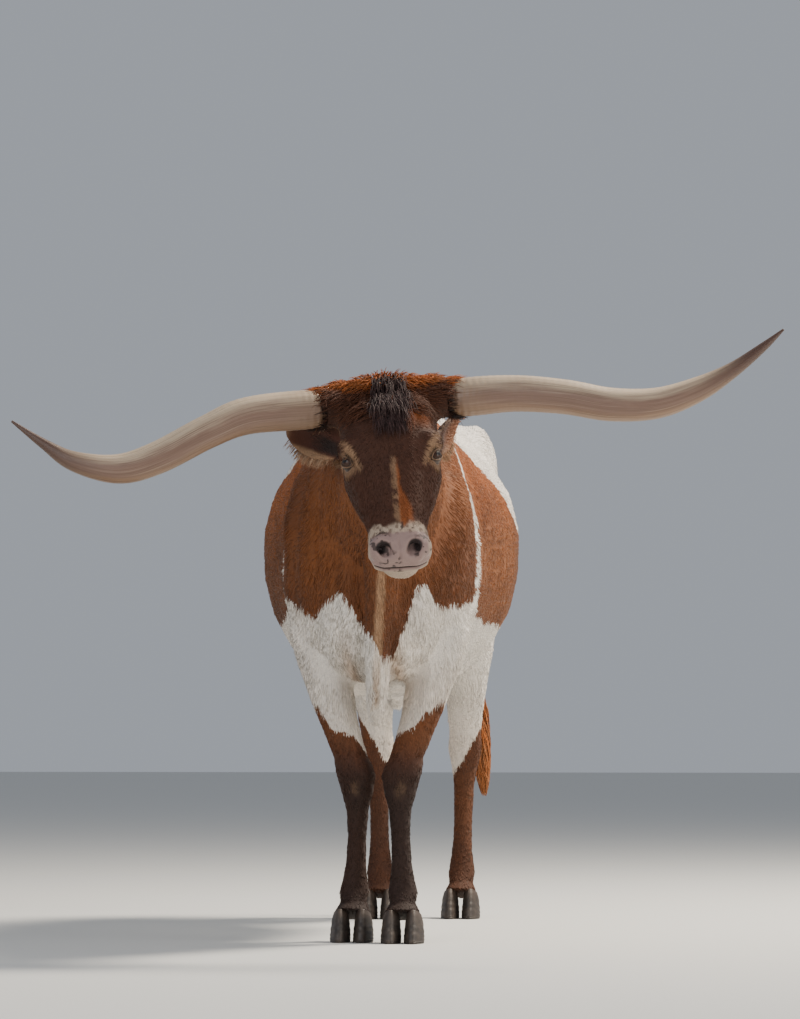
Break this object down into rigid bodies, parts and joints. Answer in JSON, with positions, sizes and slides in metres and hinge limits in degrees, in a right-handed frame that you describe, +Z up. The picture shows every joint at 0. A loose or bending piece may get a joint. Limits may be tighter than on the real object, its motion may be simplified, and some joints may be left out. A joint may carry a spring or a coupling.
{
  "type": "texas longhorn",
  "caption": "Life-size standing texas longhorn, facing forward with the head low, wide upturned horns and a brown and white coat.",
  "frame": {"origin": "on the floor, under the middle of the box round the whole animal", "axes": "+Z up; the animal faces -Y with its spine along Y; its left side is +X"},
  "size_m": [1.8402, 2.3856, 1.504],
  "materials": {
    "coat_body": "short sleek cattle coat, brown and white patches",
    "coat_head": "short dark brown coat, rusty curls on the poll, bare pinkish nose",
    "switch_hair": "long rusty tail hair",
    "horn": "ivory to tan horn, faintly ridged, half gloss",
    "eye": "dark wet brown eye",
    "hoof": "dull dark claw horn"
  },
  "bodies": {
    "root": {"head": "coat_head", "neck": "coat_body", "trunk": "coat_body", "leg_front_left": "coat_body", "leg_front_right": "coat_body", "leg_hind_left": "coat_body", "leg_hind_right": "coat_body", "ear_left": "coat_head", "ear_right": "coat_head", "tail": "coat_body", "tail_switch": "switch_hair", "horn_left": "horn", "horn_right": "horn", "eye_left": "eye", "eye_right": "eye", "claw_front_left_outer": "hoof", "dewclaw_front_left_outer": "hoof", "claw_front_left_inner": "hoof", "dewclaw_front_left_inner": "hoof", "claw_front_right_outer": "hoof", "dewclaw_front_right_outer": "hoof", "claw_front_right_inner": "hoof", "dewclaw_front_right_inner": "hoof", "claw_hind_left_outer": "hoof", "dewclaw_hind_left_outer": "hoof", "claw_hind_left_inner": "hoof", "dewclaw_hind_left_inner": "hoof", "claw_hind_right_outer": "hoof", "dewclaw_hind_right_outer": "hoof", "claw_hind_right_inner": "hoof", "dewclaw_hind_right_inner": "hoof"}
  },
  "joints": []
}
